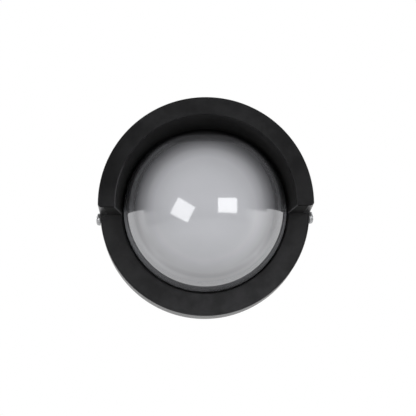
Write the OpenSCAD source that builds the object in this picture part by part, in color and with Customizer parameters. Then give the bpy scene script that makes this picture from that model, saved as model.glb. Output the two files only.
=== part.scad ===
// Round outdoor wall light with a half hood over a domed glass.
// Drawn facing out of the wall: x runs to the right, y up, z from the wall to the front.
// The last transform stands the whole light up, with the wall behind it.

/* [Overall] */
// Diameter over the front ring
ring_d = 210; // [200:1:230]
// Wall to the outer edge of the ring's face
ring_z = 45; // [43:1:55]
// Wall to the seam between housing and bezel
seam_z = 27; // [24:0.5:28]
// Growth of the housing's radius from the seam to the wall
band_flare = 0.7; // [0.3:0.1:1.5]
// Draft of the cast outer walls, in degrees
draft = 1; // [0.5:0.1:1.5]

/* [Front bezel] */
// Width of the ring's face from its outer edge to the opening
ring_face_w = 22.3; // [18:0.1:25]
// Rise of the ring's face towards the opening
face_rise = 2; // [1:0.5:3]
// Thickness of the ring at its outer edge
plate_t = 3; // [2.5:0.5:4]
// Radius of the ring's outer edge
ring_round = 2.8; // [1.5:0.1:3]
// Radius of the small cast edges
edge_round = 1.2; // [0.8:0.1:1.4]
// Wall of the skirt behind the ring
skirt_t = 3; // [2.5:0.1:3.5]
// Gap between skirt and housing at the seam
seam_gap = 0.3; // [0.2:0.1:0.6]

/* [Hood] */
// Projection of the hood from the ring's outer edge
hood_depth = 60; // [50:1:65]
// Width of the hood's front edge
hood_lip_w = 16.9; // [16:0.1:20]
// Length of the hood's ends below the centre line
hood_overrun = 3; // [1:0.5:5]
// Corner radius of the hood's ends at the ring
corner_foot_r = 1; // [0.5:0.5:2]
// Corner radius of the hood's ends at the front
corner_front_r = 4; // [2:0.5:6]
// Width of the cored pockets behind the hood
pocket_w = 5.6; // [4:0.1:6]
// Metal left in front of the pockets
pocket_roof = 4; // [3:0.5:6]
// Angle of metal between two pockets
pocket_web = 11; // [9:0.5:14]
// Number of pockets
pocket_count = 4; // [2:2:6]

/* [Glass] */
// Gap between the glass and the ring's opening
glass_gap = 1.5; // [1:0.1:2.5]
// Thickness of the pressed glass
glass_t = 4; // [3:0.5:5]
// Straight neck of the glass in front of its flange
neck_h = 9.5; // [6:0.5:12]
// Radius of the dome's shoulder as a share of the glass's radius
shoulder_share = 0.74; // [0.65:0.01:0.8]
// Radius of the dome's crown as a share of the glass's radius
crown_share = 1.133; // [1.05:0.001:1.25]
// Lap of the flange behind the ring
flange_lap = 5.3; // [4:0.1:6]
// Thickness of the glass gasket
glass_gasket_t = 1.5; // [1:0.1:2]

/* [Glass clips] */
// Number of clips
clip_count = 3; // [3:1:3]
// Width of a clip
clip_w = 12; // [10:0.5:14]
// Thickness of a clip
clip_t = 1.2; // [1:0.1:1.5]
// Diameter of the clip bosses
clip_boss_d = 7; // [6.4:0.1:7.2]

/* [Housing] */
// Wall of the spigot that the skirt slips over
spigot_t = 3.2; // [2.8:0.1:3.4]
// Clearance between spigot and skirt
spigot_clear = 0.4; // [0.3:0.05:0.6]
// Thickness of the back plate
back_t = 3; // [2.5:0.5:4]
// Depth of the recess behind the back plate
recess_h = 2; // [1.5:0.5:3]
// Width of the cored slot in the rim
rim_slot_w = 3; // [2.6:0.1:3.2]
// Depth of the cored slot in the rim
rim_slot_h = 22; // [16:1:23]
// Height of the foam ring in the slot's mouth
foam_h = 4; // [3:0.5:6]
// Thickness of the gasket on the spigot
front_gasket_t = 1.85; // [1.5:0.05:2]

/* [Wall fixing] */
// Distance between the wall slots
slot_pitch = 130; // [110:1:134]
// Width of a wall slot
slot_w = 5.5; // [4.5:0.1:6.5]
// Length of a wall slot
slot_len = 12; // [9:0.5:13]
// Diameter of the pads round the slots
slot_pad_d = 20; // [18:1:22]
// Hole for the supply cable
cable_d = 10; // [8:0.5:11]
// Hole in the back plate that holds the grommet
grommet_seat_d = 16; // [15:0.5:17]

/* [Side screws] */
// Wall to the side screws
side_screw_z = 34.5; // [33.5:0.1:34.8]
// Height of the side screws below the centre line
side_screw_drop = 6.5; // [6:0.1:9]
// Thread diameter of the side screws
side_thread_d = 6; // [5:1:6]
// Head diameter of the side screws
side_head_d = 12; // [11:0.5:12.5]
// Head height of the side screws
side_head_h = 3.2; // [3:0.1:4]
// Thickness of the side washers
side_washer_t = 0.8; // [0.6:0.1:1.2]
// Diameter of the side screw bosses
side_boss_d = 10; // [9:0.2:10.4]

/* [Gear tray] */
// Wall to the back of the gear tray
tray_z = 21; // [20:0.5:22]
// Sheet thickness of the tray and the bracket
tray_t = 1; // [0.8:0.1:1.2]
// Gap between the gear tray and the side screws' columns
tray_gap = 1.5; // [0.8:0.1:3]
// Height of the tray's rim
tray_rim_h = 7; // [5:0.5:8]
// Edge of the gear tray to the centres of its pillars
pillar_inset = 9.5; // [8:0.5:12]
// Diameter of a tray pillar
pillar_d = 10; // [8:0.5:11]

/* [Lamp and holder] */
// Wall to the lamp's axis
lamp_z = 48; // [46:0.5:50]
// Diameter of the lamp's globe
globe_d = 45; // [42:0.5:46]
// Length of the lamp in front of its holder
lamp_reach = 51; // [48:0.5:54]
// Edge of the gear tray to the back of the lampholder
holder_inset = 19.5; // [18:0.5:22]
// Length of the lampholder
holder_len = 42; // [40:0.5:43]
// Diameter of the lampholder's mouth
holder_d = 42; // [38:0.5:43]
// Diameter of the lampholder's back
holder_back_d = 37; // [35:0.5:38]
// Diameter of the lamp's screw cap
cap_d = 26.2; // [26:0.1:26.4]
// Width of the bracket
bracket_w = 32; // [28:0.5:34]
// Sheet thickness of the bracket
bracket_t = 1.5; // [1:0.1:2]

/* [Wiring] */
// Height of the terminal block
block_h = 11; // [10:0.5:12]
// Depth of the terminal block from top to bottom
block_l = 18; // [16:0.5:20]
// Distance between the poles
pole_pitch = 9; // [8:0.5:10]
// Thickness of the insulated leads
lead_d = 2.4; // [2:0.1:2.6]

/* [Hidden] */
$fn = 96;
eps = 0.01;
cut = 1;

// Front ring and skirt
ring_r = ring_d / 2;
opening_r = ring_r - ring_face_w;
plate_back = ring_z - plate_t;
round_foot = ring_z - ring_round;
skirt_end = seam_z + seam_gap;
skirt_in_r = ring_r - skirt_t;
function skirt_r(z) = ring_r + (round_foot - z) * tan(draft);

// Hood
hood_front = ring_z + hood_depth;
hood_front_r = skirt_r(hood_front);
mouth_r = hood_front_r - hood_lip_w;
corner_slack = 0.15;
face_top = ring_z + face_rise;

// Housing
spigot_r = skirt_in_r - spigot_clear;
spigot_in_r = spigot_r - spigot_t;
spigot_end = plate_back - front_gasket_t - 0.15;
floor_z = recess_h + back_t;
band_r = skirt_r(seam_z);
back_r = band_r + band_flare;
rim_wall = 2.8;
rim_slot_out = band_r - rim_wall;
rim_slot_in = rim_slot_out - rim_slot_w;
cup_r = rim_slot_in - rim_wall;
recess_r = cup_r - 1;

// Glass and its seat
glass_r = opening_r - glass_gap;
flange_r = opening_r + flange_lap;
flange_front = plate_back - glass_gasket_t;
flange_t = glass_t;
flange_back = flange_front - flange_t;
shoulder_z = flange_front + neck_h;
shoulder_r = glass_r * shoulder_share;
crown_r = glass_r * crown_share;
shoulder_x = glass_r - shoulder_r;
crown_drop = sqrt(pow(crown_r - shoulder_r, 2) - pow(shoulder_x, 2));
crown_z = shoulder_z - crown_drop;
blend_angle = atan2(crown_drop, shoulder_x);
seat_gap = 0.6;
rib_in_r = flange_r + seat_gap;
rib_out_r = rib_in_r + 1.6;

// Clips hold the flange from behind, on bosses cast into the rib round it
clip_boss_r = clip_boss_d / 2;
boss_overlap = 0.6;
clip_circle_r = rib_out_r + clip_boss_r - boss_overlap;
clip_reach_r = flange_r - 3;
clip_angles = [for (i = [0 : clip_count - 1]) 90 + i * 360 / clip_count];

// Pockets lie between the clip bosses' circle and the gasket seat
pocket_out_r = spigot_in_r - 1.2;
pocket_in_r = pocket_out_r - pocket_w;

// Small screws: M4
m4_r = 1.6;
m4_tap_r = 1.65;
m4_pass_r = 2.2;
m4_head_r = 3.5;
m4_head_h = 2.4;
clip_screw_bite = 4;
bracket_screw_len = 6;
holder_screw_bite = 8;

// Side screws
side_thread_r = side_thread_d / 2;
side_shank_r = side_thread_r - 0.05;
side_notch_r = side_thread_r + 0.3;
side_boss_r = side_boss_d / 2;
washer_x = skirt_r(skirt_end) + 0.05;
head_x = washer_x + side_washer_t;
boss_in_x = rib_out_r + 0.8;
shank_end_x = boss_in_x + 1;
column_out_x = spigot_r - spigot_t / 2;

// Gear tray and pillars
tray_r = boss_in_x - tray_gap;
tray_top = tray_z + tray_t;
pillar_circle_r = tray_r - pillar_inset;
pillar_angles = [45, 135, 225, 315];
tray_screw_len = 10;
tray_hole_depth = 12;

// Lamp and holder, along the x axis
holder_back = holder_inset - tray_r;
lamp_mouth = holder_back + holder_len;
cap_r = cap_d / 2;
cap_len = 27.5;
contact_r = 5;
shell_in_r = cap_r + 0.1;
shell_out_r = shell_in_r + 0.6;
holder_bore_r = shell_out_r + 0.1;
holder_bore_len = cap_len + 1.5;
holder_waist = 16;
holder_slope = 4;
bore_end = lamp_mouth - holder_bore_len;
globe_r = globe_d / 2;
neck_r = 14.5;
holder_screw_y = 9;
bracket_foot_len = 24;
bracket_screw_inset = 14;
bracket_screw_x = holder_back + bracket_screw_inset;
bracket_screw_y = 11;
bracket_top = lamp_z + 14;

// Wiring
block_y = -50;
block_z = floor_z + 2;
pole_x = [-pole_pitch, 0, pole_pitch];
clamp_y = 4.5;
bore_z = block_z + 4.5;
insert_r = 2.6;
wire_r = 1.6;
lead_r = lead_d / 2;
block_top_y = block_y + block_l / 2;
pole_w = pole_pitch * 0.84;
block_screw_x = pole_pitch + pole_w / 2 + m4_head_r + 0.4;
block_w = 2 * (block_screw_x + m4_head_r + 0.3);
earth_x = 42;
earth_y = -58;
earth_pad_h = 4;
tag_t = 0.8;
tag_z = floor_z + earth_pad_h;
barrel_r = 2;
barrel_z = tag_z + barrel_r;
barrel_bore = 5;
barrel_y0 = earth_y + 5;
barrel_y1 = barrel_y0 + 7;
bush_inset = 8;
bush_x = holder_back + bush_inset;
bush_y = -34;
bush_hole_r = 5;
bush_rim_r = 6.4;
bush_in_r = 3.2;
bush_rim_t = 1.5;
wire_entry_z = 4;
wire_entry_depth = 2;
wire_entry_len = 10;
entry_y = -holder_back_d / 2 + wire_entry_depth;
lead_spread = 1.6;
lead_run = 6;
lead_sag = 4;
live_swing = 3;
neutral_swing = 8;
clamp_grip = 1.4;
clamp_out = 2;

// Points on an arc round a centre, from one angle to another
function arc(c, r, a0, a1, n) =
    [for (i = [0 : n]) let (a = a0 + (a1 - a0) * i / n) c + r * [cos(a), sin(a)]];

// Smooth curve through the points of a lead's route
function spline_point(p, i, t) = let (
    n = len(p) - 1,
    a = p[max(i - 1, 0)], b = p[i], c = p[i + 1], d = p[min(i + 2, n)]
) 0.5 * (2 * b + (c - a) * t + (2 * a - 5 * b + 4 * c - d) * t * t
    + (3 * b - a - 3 * c + d) * t * t * t);
function spline(p, steps) = concat(
    [for (i = [0 : len(p) - 2], k = [0 : steps - 1]) spline_point(p, i, k / steps)],
    [p[len(p) - 1]]);
function unit(v) = v / norm(v);
function tangent(p, i) = unit(p[min(i + 1, len(p) - 1)] - p[max(i - 1, 0)]);
// Side directions carried along the route without twisting
function sides(p, i, s) = let (t = tangent(p, i), u = unit(s - (s * t) * t))
    i == len(p) - 1 ? [u] : concat([u], sides(p, i + 1, u));

module tube(route, r, first_side, steps = 4, n = 8) {
    p = spline(route, steps);
    u = sides(p, 0, first_side);
    rings = [for (i = [0 : len(p) - 1], k = [0 : n - 1])
        let (v = cross(tangent(p, i), u[i]), a = 360 * k / n)
        p[i] + r * (cos(a) * u[i] + sin(a) * v)];
    quads = [for (i = [0 : len(p) - 2], k = [0 : n - 1])
        let (j = (k + 1) % n)
        [i * n + k, (i + 1) * n + k, (i + 1) * n + j, i * n + j]];
    last = (len(p) - 1) * n;
    polyhedron(rings, concat(quads,
        [[for (k = [0 : n - 1]) k], [for (k = [n - 1 : -1 : 0]) last + k]]), convexity = 6);
}

// Solid of revolution round the light's axis from radius and height pairs
module turned(points) {
    rotate_extrude() polygon(points);
}

// Solid of revolution round the lamp's axis from axial place and radius pairs
module turned_x(points) {
    translate([0, 0, lamp_z]) rotate([0, 90, 0]) rotate_extrude()
        polygon([for (p = points) [p[1], p[0]]]);
}

module tube_ring(r_out, r_in, z0, z1) {
    difference() {
        translate([0, 0, z0]) cylinder(h = z1 - z0, r = r_out);
        translate([0, 0, z0 - cut]) cylinder(h = z1 - z0 + 2 * cut, r = r_in);
    }
}

// Pan head screw standing on z = 0 with its shank going down, and a cross or a slot in its head
module pan_screw(head_r, head_h, shank_r, shank_len, slotted = false) {
    crown = head_h * 0.7;
    difference() {
        union() {
            rotate_extrude() polygon(concat(
                [[0, 0], [head_r, 0], [head_r, head_h - crown]],
                [for (a = [15 : 15 : 90])
                    [head_r * (0.4 + 0.6 * cos(a)), head_h - crown + crown * sin(a)]],
                [[0, head_h]]));
            translate([0, 0, -shank_len]) cylinder(h = shank_len + eps, r = shank_r);
        }
        if (slotted)
            translate([-head_r - cut, -head_r * 0.13, head_h * 0.52])
                cube([2 * head_r + 2 * cut, head_r * 0.26, head_h]);
        else
            for (a = [0, 90]) rotate([0, 0, a])
                translate([-head_r * 0.55, -head_r * 0.11, head_h - head_r * 0.4])
                    cube([head_r * 1.1, head_r * 0.22, head_r]);
    }
}

// Places its children on both sides, pointing outwards
module on_side(side) {
    translate([0, -side_screw_drop, side_screw_z]) rotate([0, side * 90, 0]) children();
}

module slot_hole(h) {
    reach = (slot_len - slot_w) / 2;
    for (s = [-1, 1]) translate([s * reach, 0, 0]) cylinder(h = h, d = slot_w);
    translate([-reach, -slot_w / 2, 0]) cube([2 * reach, slot_w, h]);
}

module base_cup() {
    turned(concat(
        [[0, recess_h], [recess_r, recess_h], [recess_r, 0], [rim_slot_in, 0],
            [rim_slot_in, rim_slot_h], [rim_slot_out, rim_slot_h], [rim_slot_out, 0],
            [back_r - edge_round / 2, 0], [back_r, edge_round / 2],
            [band_r, seam_z - edge_round / 2], [band_r - edge_round / 2, seam_z],
            [spigot_r, seam_z], [spigot_r, spigot_end - edge_round / 2],
            [spigot_r - edge_round / 2, spigot_end], [spigot_in_r, spigot_end],
            [spigot_in_r, seam_z], [cup_r, seam_z - 2]],
        arc([cup_r - edge_round * 2, floor_z + edge_round * 2], edge_round * 2, 0, -90, 5),
        [[0, floor_z]]));
}

module base_housing() {
    color("#242426") difference() {
        union() {
            base_cup();
            // Columns that take the side screws
            for (side = [-1, 1]) {
                on_side(side) translate([0, 0, boss_in_x])
                    cylinder(h = column_out_x - boss_in_x, r = side_boss_r);
                translate([side > 0 ? boss_in_x : -column_out_x,
                    -side_screw_drop - side_boss_r, floor_z - cut])
                    cube([column_out_x - boss_in_x, 2 * side_boss_r,
                        side_screw_z - floor_z + cut]);
            }
            // Pillars under the gear tray
            for (a = pillar_angles) rotate([0, 0, a]) translate([pillar_circle_r, 0, floor_z - cut])
                cylinder(h = tray_z - floor_z + cut, d = pillar_d);
            // Pads that meet the wall round the slots
            for (s = [-1, 1]) translate([s * slot_pitch / 2, 0, 0])
                cylinder(h = recess_h + eps, d = slot_pad_d);
            // Raised seat of the terminal block and the earth boss
            translate([-block_w / 2, block_y - block_l / 2, floor_z - cut])
                cube([block_w, block_l, block_z - floor_z + cut]);
            translate([earth_x, earth_y, floor_z - cut])
                cylinder(h = earth_pad_h + cut, r = 6);
        }
        for (side = [-1, 1]) on_side(side) translate([0, 0, boss_in_x - cut])
            cylinder(h = spigot_r - boss_in_x + 2 * cut, r = side_thread_r);
        for (a = pillar_angles) rotate([0, 0, a])
            translate([pillar_circle_r, 0, tray_z - tray_hole_depth])
                cylinder(h = tray_hole_depth + cut, r = m4_tap_r);
        for (s = [-1, 1]) translate([s * slot_pitch / 2, 0, -cut])
            slot_hole(floor_z + 2 * cut);
        translate([0, 0, -cut]) cylinder(h = floor_z + 2 * cut, d = grommet_seat_d);
        for (s = [-1, 1]) translate([s * block_screw_x, block_y, recess_h + 1])
            cylinder(h = block_z, r = m4_tap_r);
        translate([earth_x, earth_y, recess_h + 1]) cylinder(h = tag_z, r = m4_tap_r);
    }
}

module wall_gasket() {
    color("#1b1b1b") tube_ring(rim_slot_out - 0.05, rim_slot_in + 0.05, 0, foam_h);
}

module cable_grommet() {
    seat_r = grommet_seat_d / 2;
    color("#161616") turned([
        [cable_d / 2, 0.4], [seat_r + 2.5, 0.4], [seat_r + 2.5, recess_h],
        [seat_r - 0.05, recess_h], [seat_r - 0.05, floor_z], [seat_r + 2.5, floor_z],
        [seat_r + 1.5, floor_z + 2], [cable_d / 2, floor_z + 2]]);
}

module front_gasket() {
    color("#202020") tube_ring(spigot_r - 0.4, spigot_in_r + 0.2, spigot_end,
        spigot_end + front_gasket_t);
}

module terminal_block() {
    color("#e9e6de") difference() {
        union() {
            translate([-block_w / 2, block_y - block_l / 2, block_z])
                cube([block_w, block_l, block_h * 0.7]);
            for (x = pole_x) translate([x - pole_w / 2, block_y - block_l / 2, block_z])
                cube([pole_w, block_l, block_h]);
        }
        for (x = pole_x) {
            translate([x, block_y, bore_z]) rotate([90, 0, 0])
                cylinder(h = block_l + 2 * cut, r = insert_r + 0.05, center = true);
            for (s = [-1, 1]) translate([x, block_y + s * clamp_y, bore_z])
                cylinder(h = block_h, r = 2);
        }
        for (s = [-1, 1]) translate([s * block_screw_x, block_y, block_z - cut])
            cylinder(h = block_h + 2 * cut, r = m4_pass_r);
    }
}

module terminal_inserts() {
    color("#c9a84c") for (x = pole_x) difference() {
        translate([x, block_y, bore_z]) rotate([90, 0, 0])
            cylinder(h = block_l - 3, r = insert_r, center = true);
        translate([x, block_y, bore_z]) rotate([90, 0, 0])
            cylinder(h = block_l + 2 * cut, r = wire_r, center = true);
        for (s = [-1, 1]) translate([x, block_y + s * clamp_y, bore_z])
            cylinder(h = block_h, r = 1.3);
    }
}

module terminal_screws() {
    color("#b9bcc0") for (x = pole_x, s = [-1, 1])
        translate([x, block_y + s * clamp_y, bore_z + wire_r - 0.4]) difference() {
            union() {
                cylinder(h = 4, r = 1.25);
                translate([0, 0, 2]) cylinder(h = 2.2, r = 1.8);
            }
            translate([-3, -0.3, 3.4]) cube([6, 0.6, 2]);
        }
}

module block_screws() {
    color("#b9bcc0") for (s = [-1, 1])
        translate([s * block_screw_x, block_y, block_z + block_h * 0.7])
            pan_screw(m4_head_r, m4_head_h, m4_r, block_h * 0.7 + 3);
}

module earth_screw() {
    color("#b9bcc0") translate([earth_x, earth_y, tag_z + tag_t])
        pan_screw(m4_head_r, m4_head_h, m4_r, tag_t + 5);
}

module earth_tag() {
    color("#d2d3d0") difference() {
        union() {
            translate([earth_x, earth_y, tag_z]) cylinder(h = tag_t, r = 4.2);
            translate([earth_x - 1.5, earth_y, tag_z]) cube([3, barrel_y0 - earth_y + 1, tag_t]);
            translate([earth_x, barrel_y1, barrel_z]) rotate([90, 0, 0])
                cylinder(h = barrel_y1 - barrel_y0, r = barrel_r);
        }
        translate([earth_x, earth_y, tag_z - cut]) cylinder(h = tag_t + 2 * cut, r = m4_pass_r);
        translate([earth_x, barrel_y1 + cut, barrel_z]) rotate([90, 0, 0])
            cylinder(h = barrel_bore + cut, r = lead_r + 0.1);
    }
}

// Routes of the leads: each leaves its clamp, swings aside and sags on its way to its hole,
// and the two that pass the bush run straight through it
function swing(a, b, side, sag, places) =
    [for (t = places) a + (b - a) * t + [0, side, -sag] * sin(180 * t)];
function from_clamp(x) =
    [[x, block_top_y - clamp_grip, bore_z], [x, block_top_y + clamp_out, bore_z]];
function up_the_bush(x) =
    [for (z = [-1 : 1]) [x, bush_y, tray_z + z * lead_run]];
function into_holder(z) =
    [for (k = [2 : -1 : 0]) [bush_x, entry_y - k * lead_run, lamp_z + z]];
live_x = bush_x + lead_spread;
neutral_x = bush_x - lead_spread;
live_route = concat(from_clamp(-pole_pitch),
    swing(from_clamp(-pole_pitch)[1], [live_x, bush_y, tray_z - lead_run], live_swing, lead_sag,
        [0.12, 0.35, 0.6, 0.85]),
    up_the_bush(live_x), into_holder(-wire_entry_z));
neutral_route = concat(from_clamp(0),
    swing(from_clamp(0)[1], [neutral_x, bush_y, tray_z - lead_run], neutral_swing, -lead_sag / 2,
        [0.12, 0.35, 0.6, 0.85]),
    [[neutral_x, bush_y + neutral_swing / 2, tray_z - lead_run - wire_r]],
    up_the_bush(neutral_x), [[neutral_x, bush_y, lamp_z - lead_run]], into_holder(wire_entry_z));
earth_route = concat(from_clamp(pole_pitch),
    swing(from_clamp(pole_pitch)[1], [earth_x, barrel_y1 + lead_run, barrel_z], live_swing * 2, 0,
        [0.25, 0.5, 0.75]),
    [for (y = [lead_run, wire_r, 1 - barrel_bore]) [earth_x, barrel_y1 + y, barrel_z]]);

module live_lead() {
    color("#6b3f22") tube(live_route, lead_r, [1, 0, 0]);
}

module neutral_lead() {
    color("#2b5fa8") tube(neutral_route, lead_r, [1, 0, 0]);
}

module earth_lead() {
    color("#5d9a3a") tube(earth_route, lead_r, [1, 0, 0]);
}

module gear_tray() {
    color("#eeeeea") difference() {
        union() {
            translate([0, 0, tray_z]) cylinder(h = tray_t, r = tray_r);
            tube_ring(tray_r, tray_r - tray_t, tray_z, tray_z + tray_rim_h);
        }
        for (a = pillar_angles) rotate([0, 0, a])
            translate([pillar_circle_r, 0, tray_z - cut]) cylinder(h = tray_t + 2 * cut, r = m4_pass_r);
        for (s = [-1, 1]) translate([bracket_screw_x, s * bracket_screw_y, tray_z - cut])
            cylinder(h = tray_t + 2 * cut, r = m4_tap_r);
        translate([bush_x, bush_y, tray_z - cut]) cylinder(h = tray_t + 2 * cut, r = bush_hole_r);
    }
}

module tray_screws() {
    color("#b9bcc0") for (a = pillar_angles) rotate([0, 0, a])
        translate([pillar_circle_r, 0, tray_top])
            pan_screw(m4_head_r, m4_head_h, m4_r, tray_screw_len);
}

module tray_bush() {
    color("#161616") translate([bush_x, bush_y, 0]) turned([
        [bush_in_r, tray_z - bush_rim_t], [bush_rim_r, tray_z - bush_rim_t],
        [bush_rim_r, tray_z], [bush_hole_r - 0.05, tray_z], [bush_hole_r - 0.05, tray_top],
        [bush_rim_r, tray_top], [bush_rim_r - 0.8, tray_top + bush_rim_t],
        [bush_in_r, tray_top + bush_rim_t]]);
}

module holder_bracket() {
    up = bracket_top - tray_top;
    color("#c3c6c9") difference() {
        union() {
            translate([holder_back - bracket_t, -bracket_w / 2, tray_top])
                cube([bracket_foot_len, bracket_w, bracket_t]);
            translate([holder_back, 0, tray_top]) rotate([0, -90, 0]) linear_extrude(bracket_t)
                union() {
                    translate([0, -bracket_w / 2]) square([up - 6, bracket_w]);
                    translate([0, 6 - bracket_w / 2]) square([up, bracket_w - 12]);
                    for (s = [-1, 1]) translate([up - 6, s * (bracket_w / 2 - 6)]) circle(r = 6);
                }
        }
        for (s = [-1, 1]) {
            translate([bracket_screw_x, s * bracket_screw_y, tray_top - cut])
                cylinder(h = bracket_t + 2 * cut, r = m4_pass_r);
            translate([holder_back, s * holder_screw_y, lamp_z]) rotate([0, 90, 0])
                cylinder(h = 3 * bracket_t, r = m4_pass_r, center = true);
        }
    }
}

module bracket_screws() {
    color("#b9bcc0") for (s = [-1, 1])
        translate([bracket_screw_x, s * bracket_screw_y, tray_top + bracket_t])
            pan_screw(m4_head_r, m4_head_h, m4_r, bracket_screw_len);
}

module lampholder() {
    color("#f4f1ea") difference() {
        turned_x(concat(
            [[holder_back, 0], [holder_back, holder_back_d / 2 - 1.5],
                [holder_back + 1.5, holder_back_d / 2],
                [holder_back + holder_waist, holder_back_d / 2],
                [holder_back + holder_waist + holder_slope, holder_d / 2 - 1],
                [lamp_mouth - 3, holder_d / 2]],
            arc([lamp_mouth - 3, holder_d / 2 - 3], 3, 90, 0, 5),
            [[lamp_mouth, holder_bore_r], [bore_end, holder_bore_r], [bore_end, 0]]));
        for (s = [-1, 1]) {
            translate([holder_back - cut, s * holder_screw_y, lamp_z]) rotate([0, 90, 0])
                cylinder(h = holder_screw_bite + 2 * cut, r = m4_tap_r);
            translate([bush_x, entry_y, lamp_z + s * wire_entry_z]) rotate([90, 0, 0])
                cylinder(h = wire_entry_len, r = lead_r + 0.2);
        }
    }
}

module holder_shell() {
    color("#c9a84c") turned_x([
        [bore_end + 3, shell_in_r], [bore_end + 3, shell_out_r],
        [lamp_mouth - 2, shell_out_r], [lamp_mouth - 2, shell_in_r]]);
}

module holder_contact() {
    color("#c9a84c") turned_x([
        [bore_end, 0], [bore_end, contact_r], [bore_end + 0.6, contact_r],
        [bore_end + 0.6, contact_r * 0.6], [lamp_mouth - cap_len - 0.05, contact_r / 2],
        [lamp_mouth - cap_len - 0.05, 0]]);
}

module holder_screws() {
    color("#b9bcc0") for (s = [-1, 1])
        translate([holder_back - bracket_t, s * holder_screw_y, lamp_z]) rotate([0, -90, 0])
            pan_screw(m4_head_r, m4_head_h, m4_r, bracket_t + holder_screw_bite);
}

module lamp() {
    globe_c = lamp_mouth + lamp_reach - globe_r;
    start = 180 - asin(neck_r / globe_r);
    color("#f3f2ee") turned_x(concat(
        [[lamp_mouth - cap_len, 0], [lamp_mouth - cap_len, 4], [lamp_mouth - cap_len + 2, 5],
            [lamp_mouth - cap_len + 5, cap_r], [lamp_mouth, cap_r]],
        arc([globe_c, 0], globe_r, start, 0, 18)));
}

// Skirt and ring plate as one turned wall, with or without the rounded front edge
module ring_wall(front_edge) {
    turned(concat(
        [[skirt_in_r, skirt_end], [skirt_r(skirt_end), skirt_end]],
        front_edge,
        [[opening_r, plate_back], [rib_in_r, plate_back], [rib_in_r, flange_back],
            [rib_out_r, flange_back], [rib_out_r, plate_back], [skirt_in_r, plate_back]]));
}

module lower_ring() {
    intersection() {
        ring_wall(concat(
            arc([ring_r - ring_round, round_foot], ring_round, 0, 90, 8),
            arc([opening_r + edge_round, face_top - edge_round], edge_round, 90, 180, 5)));
        translate([-ring_d, -2 * ring_d - hood_overrun, 0]) cube([2 * ring_d, 2 * ring_d, hood_front]);
    }
}

module upper_ring() {
    intersection() {
        ring_wall([[ring_r, round_foot], [skirt_r(ring_z), ring_z], [opening_r, ring_z]]);
        translate([-ring_d, -hood_overrun, 0]) cube([2 * ring_d, 2 * ring_d, hood_front]);
    }
}

// Half hood: a turned wall with both ends cut level and their outer corners rounded
module hood() {
    intersection() {
        turned(concat(
            [[opening_r, ring_z], [skirt_r(ring_z), ring_z]],
            arc([hood_front_r - edge_round, hood_front - edge_round], edge_round, 0, 90, 5),
            arc([mouth_r + edge_round, hood_front - edge_round], edge_round, 90, 180, 5),
            [[opening_r, face_top]]));
        hood_ends();
    }
}

module hood_ends() {
    foot_x = skirt_r(ring_z) + corner_slack - corner_foot_r;
    front_x = hood_front_r + corner_slack - corner_front_r;
    hull() {
        for (s = [-1, 1]) {
            translate([s * foot_x, corner_foot_r - hood_overrun, ring_z - eps])
                cylinder(h = eps, r = corner_foot_r, $fn = 32);
            translate([s * front_x, corner_front_r - hood_overrun, hood_front])
                cylinder(h = eps, r = corner_front_r, $fn = 32);
            translate([s * foot_x, ring_d, ring_z - eps])
                cylinder(h = eps, r = corner_foot_r, $fn = 32);
            translate([s * front_x, ring_d, hood_front])
                cylinder(h = eps, r = corner_front_r, $fn = 32);
        }
    }
}

module hood_pockets() {
    span = (180 - pocket_web * (pocket_count + 1)) / pocket_count;
    for (i = [0 : pocket_count - 1]) rotate([0, 0, pocket_web + i * (span + pocket_web)])
        rotate_extrude(angle = span) polygon([
            [pocket_in_r, plate_back - cut], [pocket_out_r, plate_back - cut],
            [pocket_out_r - 1, hood_front - pocket_roof],
            [pocket_in_r + 1, hood_front - pocket_roof]]);
}

module front_bezel() {
    color("#242426") difference() {
        union() {
            lower_ring();
            upper_ring();
            hood();
            for (a = clip_angles) rotate([0, 0, a])
                translate([clip_circle_r, 0, flange_back])
                    cylinder(h = plate_back - flange_back + cut, r = clip_boss_r);
        }
        hood_pockets();
        // Open notches that pass over the shanks of the side screws
        for (side = [-1, 1]) {
            on_side(side) translate([0, 0, skirt_in_r - cut - 1])
                cylinder(h = skirt_t + 4 * cut, r = side_notch_r);
            translate([side > 0 ? skirt_in_r - 2 * cut : -ring_r - 2 * cut,
                -side_screw_drop - side_notch_r, skirt_end - cut])
                cube([skirt_t + 4 * cut, 2 * side_notch_r, side_screw_z - skirt_end + cut]);
        }
        for (a = clip_angles) rotate([0, 0, a])
            translate([clip_circle_r, 0, flange_back - cut])
                cylinder(h = plate_back - flange_back + cut, r = m4_tap_r);
    }
}

module glass_gasket() {
    color("#1a1a1a") tube_ring(flange_r, opening_r + 0.3, flange_front, plate_back);
}

module glass_dome() {
    blend = [shoulder_x, shoulder_z];
    crown = [0, crown_z];
    color("#e3e6ea", 0.6) turned(concat(
        [[glass_r - glass_t, flange_back], [flange_r - 0.6, flange_back],
            [flange_r, flange_back + 0.6], [flange_r, flange_front],
            [glass_r + 1, flange_front], [glass_r, flange_front + 1]],
        arc(blend, shoulder_r, 0, blend_angle, 10),
        arc(crown, crown_r, blend_angle + 3, 90, 10),
        arc(crown, crown_r - glass_t, 90, blend_angle + 3, 10),
        arc(blend, shoulder_r - glass_t, blend_angle, 0, 10)));
}

module glass_clips() {
    color("#c3c6c9") for (a = clip_angles) rotate([0, 0, a]) difference() {
        translate([clip_reach_r, -clip_w / 2, flange_back - clip_t])
            cube([clip_circle_r + clip_boss_r - clip_reach_r - 0.4, clip_w, clip_t]);
        translate([clip_circle_r, 0, flange_back - clip_t - cut])
            cylinder(h = clip_t + 2 * cut, r = m4_pass_r);
    }
}

module clip_screws() {
    color("#b9bcc0") for (a = clip_angles) rotate([0, 0, a])
        translate([clip_circle_r, 0, flange_back - clip_t]) rotate([180, 0, 0])
            pan_screw(m4_head_r, m4_head_h, m4_r, clip_t + clip_screw_bite);
}

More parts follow.
